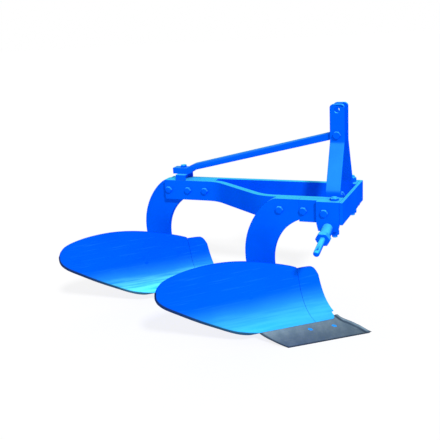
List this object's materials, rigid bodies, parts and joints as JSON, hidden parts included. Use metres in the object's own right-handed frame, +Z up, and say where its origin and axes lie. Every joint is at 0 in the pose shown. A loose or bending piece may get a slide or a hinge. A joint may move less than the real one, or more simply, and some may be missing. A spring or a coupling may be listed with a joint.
{
  "type": "mounted mouldboard plough",
  "caption": "Tractor-mounted mouldboard plough with curved legs on a bar frame, turning soil to its right, with a braced mast and hitch pins at the front.",
  "frame": {"origin": "on the ground, under the middle of the bounding box", "axes": "+X is the direction of travel, towards the tractor; +Y is the plough's left; +Z is up"},
  "size_m": [1.1718, 0.9042, 0.808],
  "materials": {
    "blue_paint": "semi-gloss bright blue enamel",
    "bare_steel": "bare grey steel, lightly scuffed"
  },
  "bodies": {
    "root": {"front_leg": "blue_paint", "front_frog": "blue_paint", "front_mouldboard": "blue_paint", "front_shin": "blue_paint", "front_share": "bare_steel", "front_landside": "blue_paint", "front_heel": "blue_paint", "front_stay": "blue_paint", "front_frog_bolt_1": "blue_paint", "front_frog_nut_1": "blue_paint", "front_frog_bolt_2": "blue_paint", "front_frog_nut_2": "blue_paint", "rear_leg": "blue_paint", "rear_frog": "blue_paint", "rear_mouldboard": "blue_paint", "rear_shin": "blue_paint", "rear_share": "bare_steel", "rear_landside": "blue_paint", "rear_heel": "blue_paint", "rear_stay": "blue_paint", "rear_frog_bolt_1": "blue_paint", "rear_frog_nut_1": "blue_paint", "rear_frog_bolt_2": "blue_paint", "rear_frog_nut_2": "blue_paint", "right_beam": "blue_paint", "left_beam": "blue_paint", "cross_plate": "blue_paint", "right_filler": "blue_paint", "left_filler": "blue_paint", "rear_filler": "blue_paint", "front_leg_bolt": "blue_paint", "front_leg_nut": "blue_paint", "front_filler_bolt": "blue_paint", "front_filler_nut": "blue_paint", "rear_leg_bolt": "blue_paint", "rear_leg_nut": "blue_paint", "rear_filler_1_bolt": "blue_paint", "rear_filler_1_nut": "blue_paint", "rear_filler_2_bolt": "blue_paint", "rear_filler_2_nut": "blue_paint", "right_hitch_bracket": "blue_paint", "right_hitch_pin": "blue_paint", "right_bracket_bolt": "blue_paint", "right_bracket_nut": "blue_paint", "right_clamp_bolt": "blue_paint", "right_clamp_nut": "blue_paint", "left_hitch_bracket": "blue_paint", "left_hitch_pin": "blue_paint", "left_bracket_bolt": "blue_paint", "left_bracket_nut": "blue_paint", "left_clamp_bolt": "blue_paint", "left_clamp_nut": "blue_paint", "mast_right_leg": "blue_paint", "mast_left_leg": "blue_paint", "diagonal_brace": "blue_paint", "brace_stand": "blue_paint", "mast_bolt": "blue_paint", "mast_nut": "blue_paint", "brace_bolt": "blue_paint", "brace_nut": "blue_paint"}
  },
  "joints": []
}
